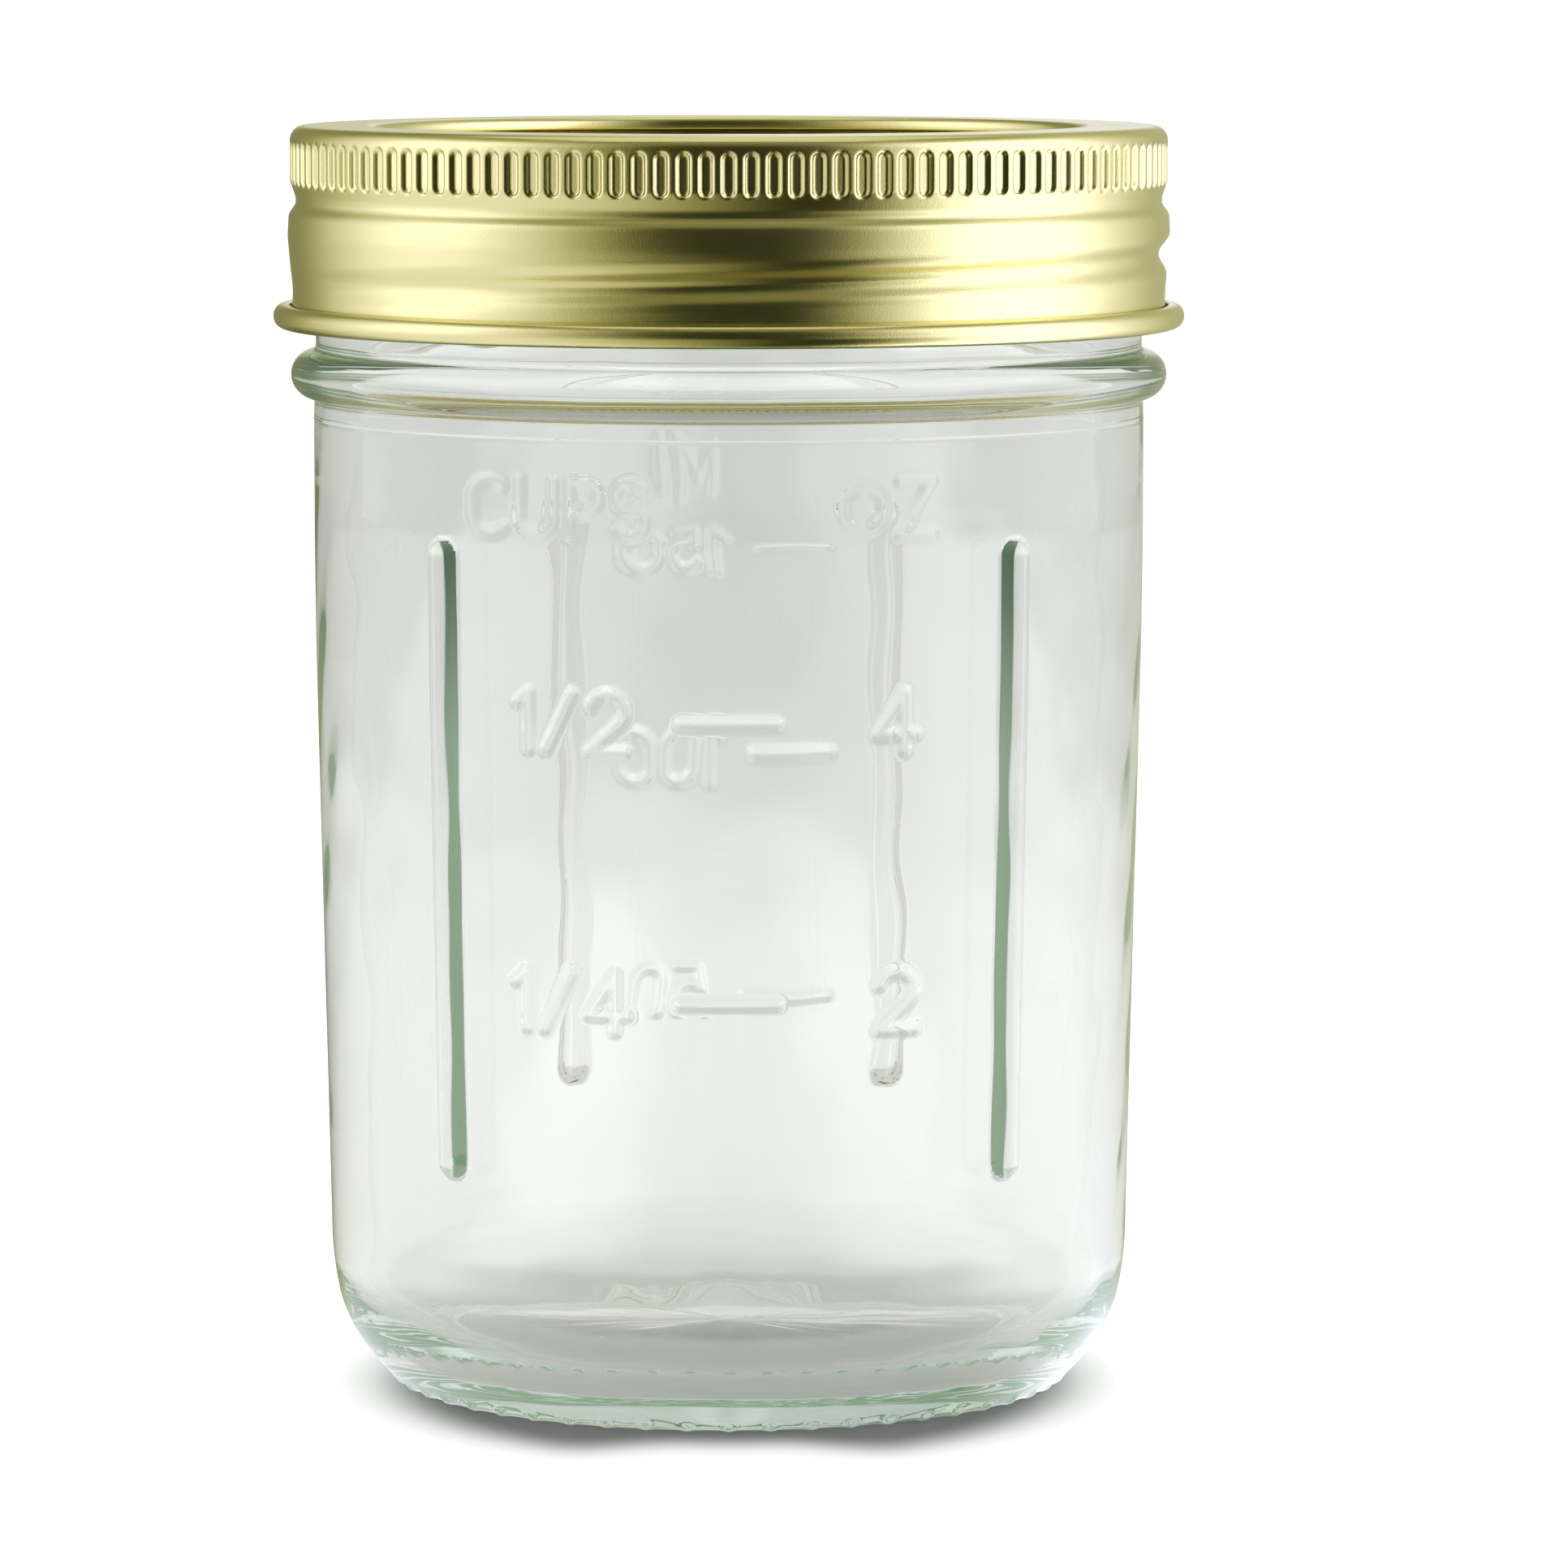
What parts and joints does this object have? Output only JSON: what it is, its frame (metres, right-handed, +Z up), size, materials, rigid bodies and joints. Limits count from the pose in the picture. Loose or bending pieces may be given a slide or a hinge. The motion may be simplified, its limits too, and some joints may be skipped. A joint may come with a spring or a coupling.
{
  "type": "mason jar",
  "caption": "Clear glass canning jar with raised measuring marks, grip ribs and a screw thread, closed by a flat metal lid with a sealing ring and a knurled gold screw band.",
  "frame": {"origin": "centre of the jar's footprint, on the plane the bearing ring stands on", "axes": "+Z up along the jar's axis; the cups and ounces scale faces -Y; +X is to that scale's right"},
  "size_m": [0.0734, 0.0734, 0.1016],
  "materials": {
    "clear_glass": "clear, faint green where thick",
    "coated_steel": "satin pale gold lacquer",
    "seal_compound": "matte",
    "gold_steel": "satin pale gold lacquer"
  },
  "bodies": {
    "jar": {"glass_jar": "clear_glass"},
    "lid": {"lid_disc": "coated_steel", "sealing_ring": "seal_compound"},
    "band": {"screw_band": "gold_steel"}
  },
  "joints": [
    {"name": "lid_lift", "type": "slide", "parent": "jar", "child": "lid", "axis": [0, 0, 1], "range_m": [0, 0.01778]},
    {"name": "band_turn", "type": "hinge", "parent": "lid", "child": "band", "pos_m": [0, 0, 0.0935], "axis": [0, 0, 1], "range_deg": [0, 1260]}
  ],
  "couplings": [
    {"joint": "band_turn", "follows": "lid_lift", "rad_per_m": 1236.8}
  ]
}
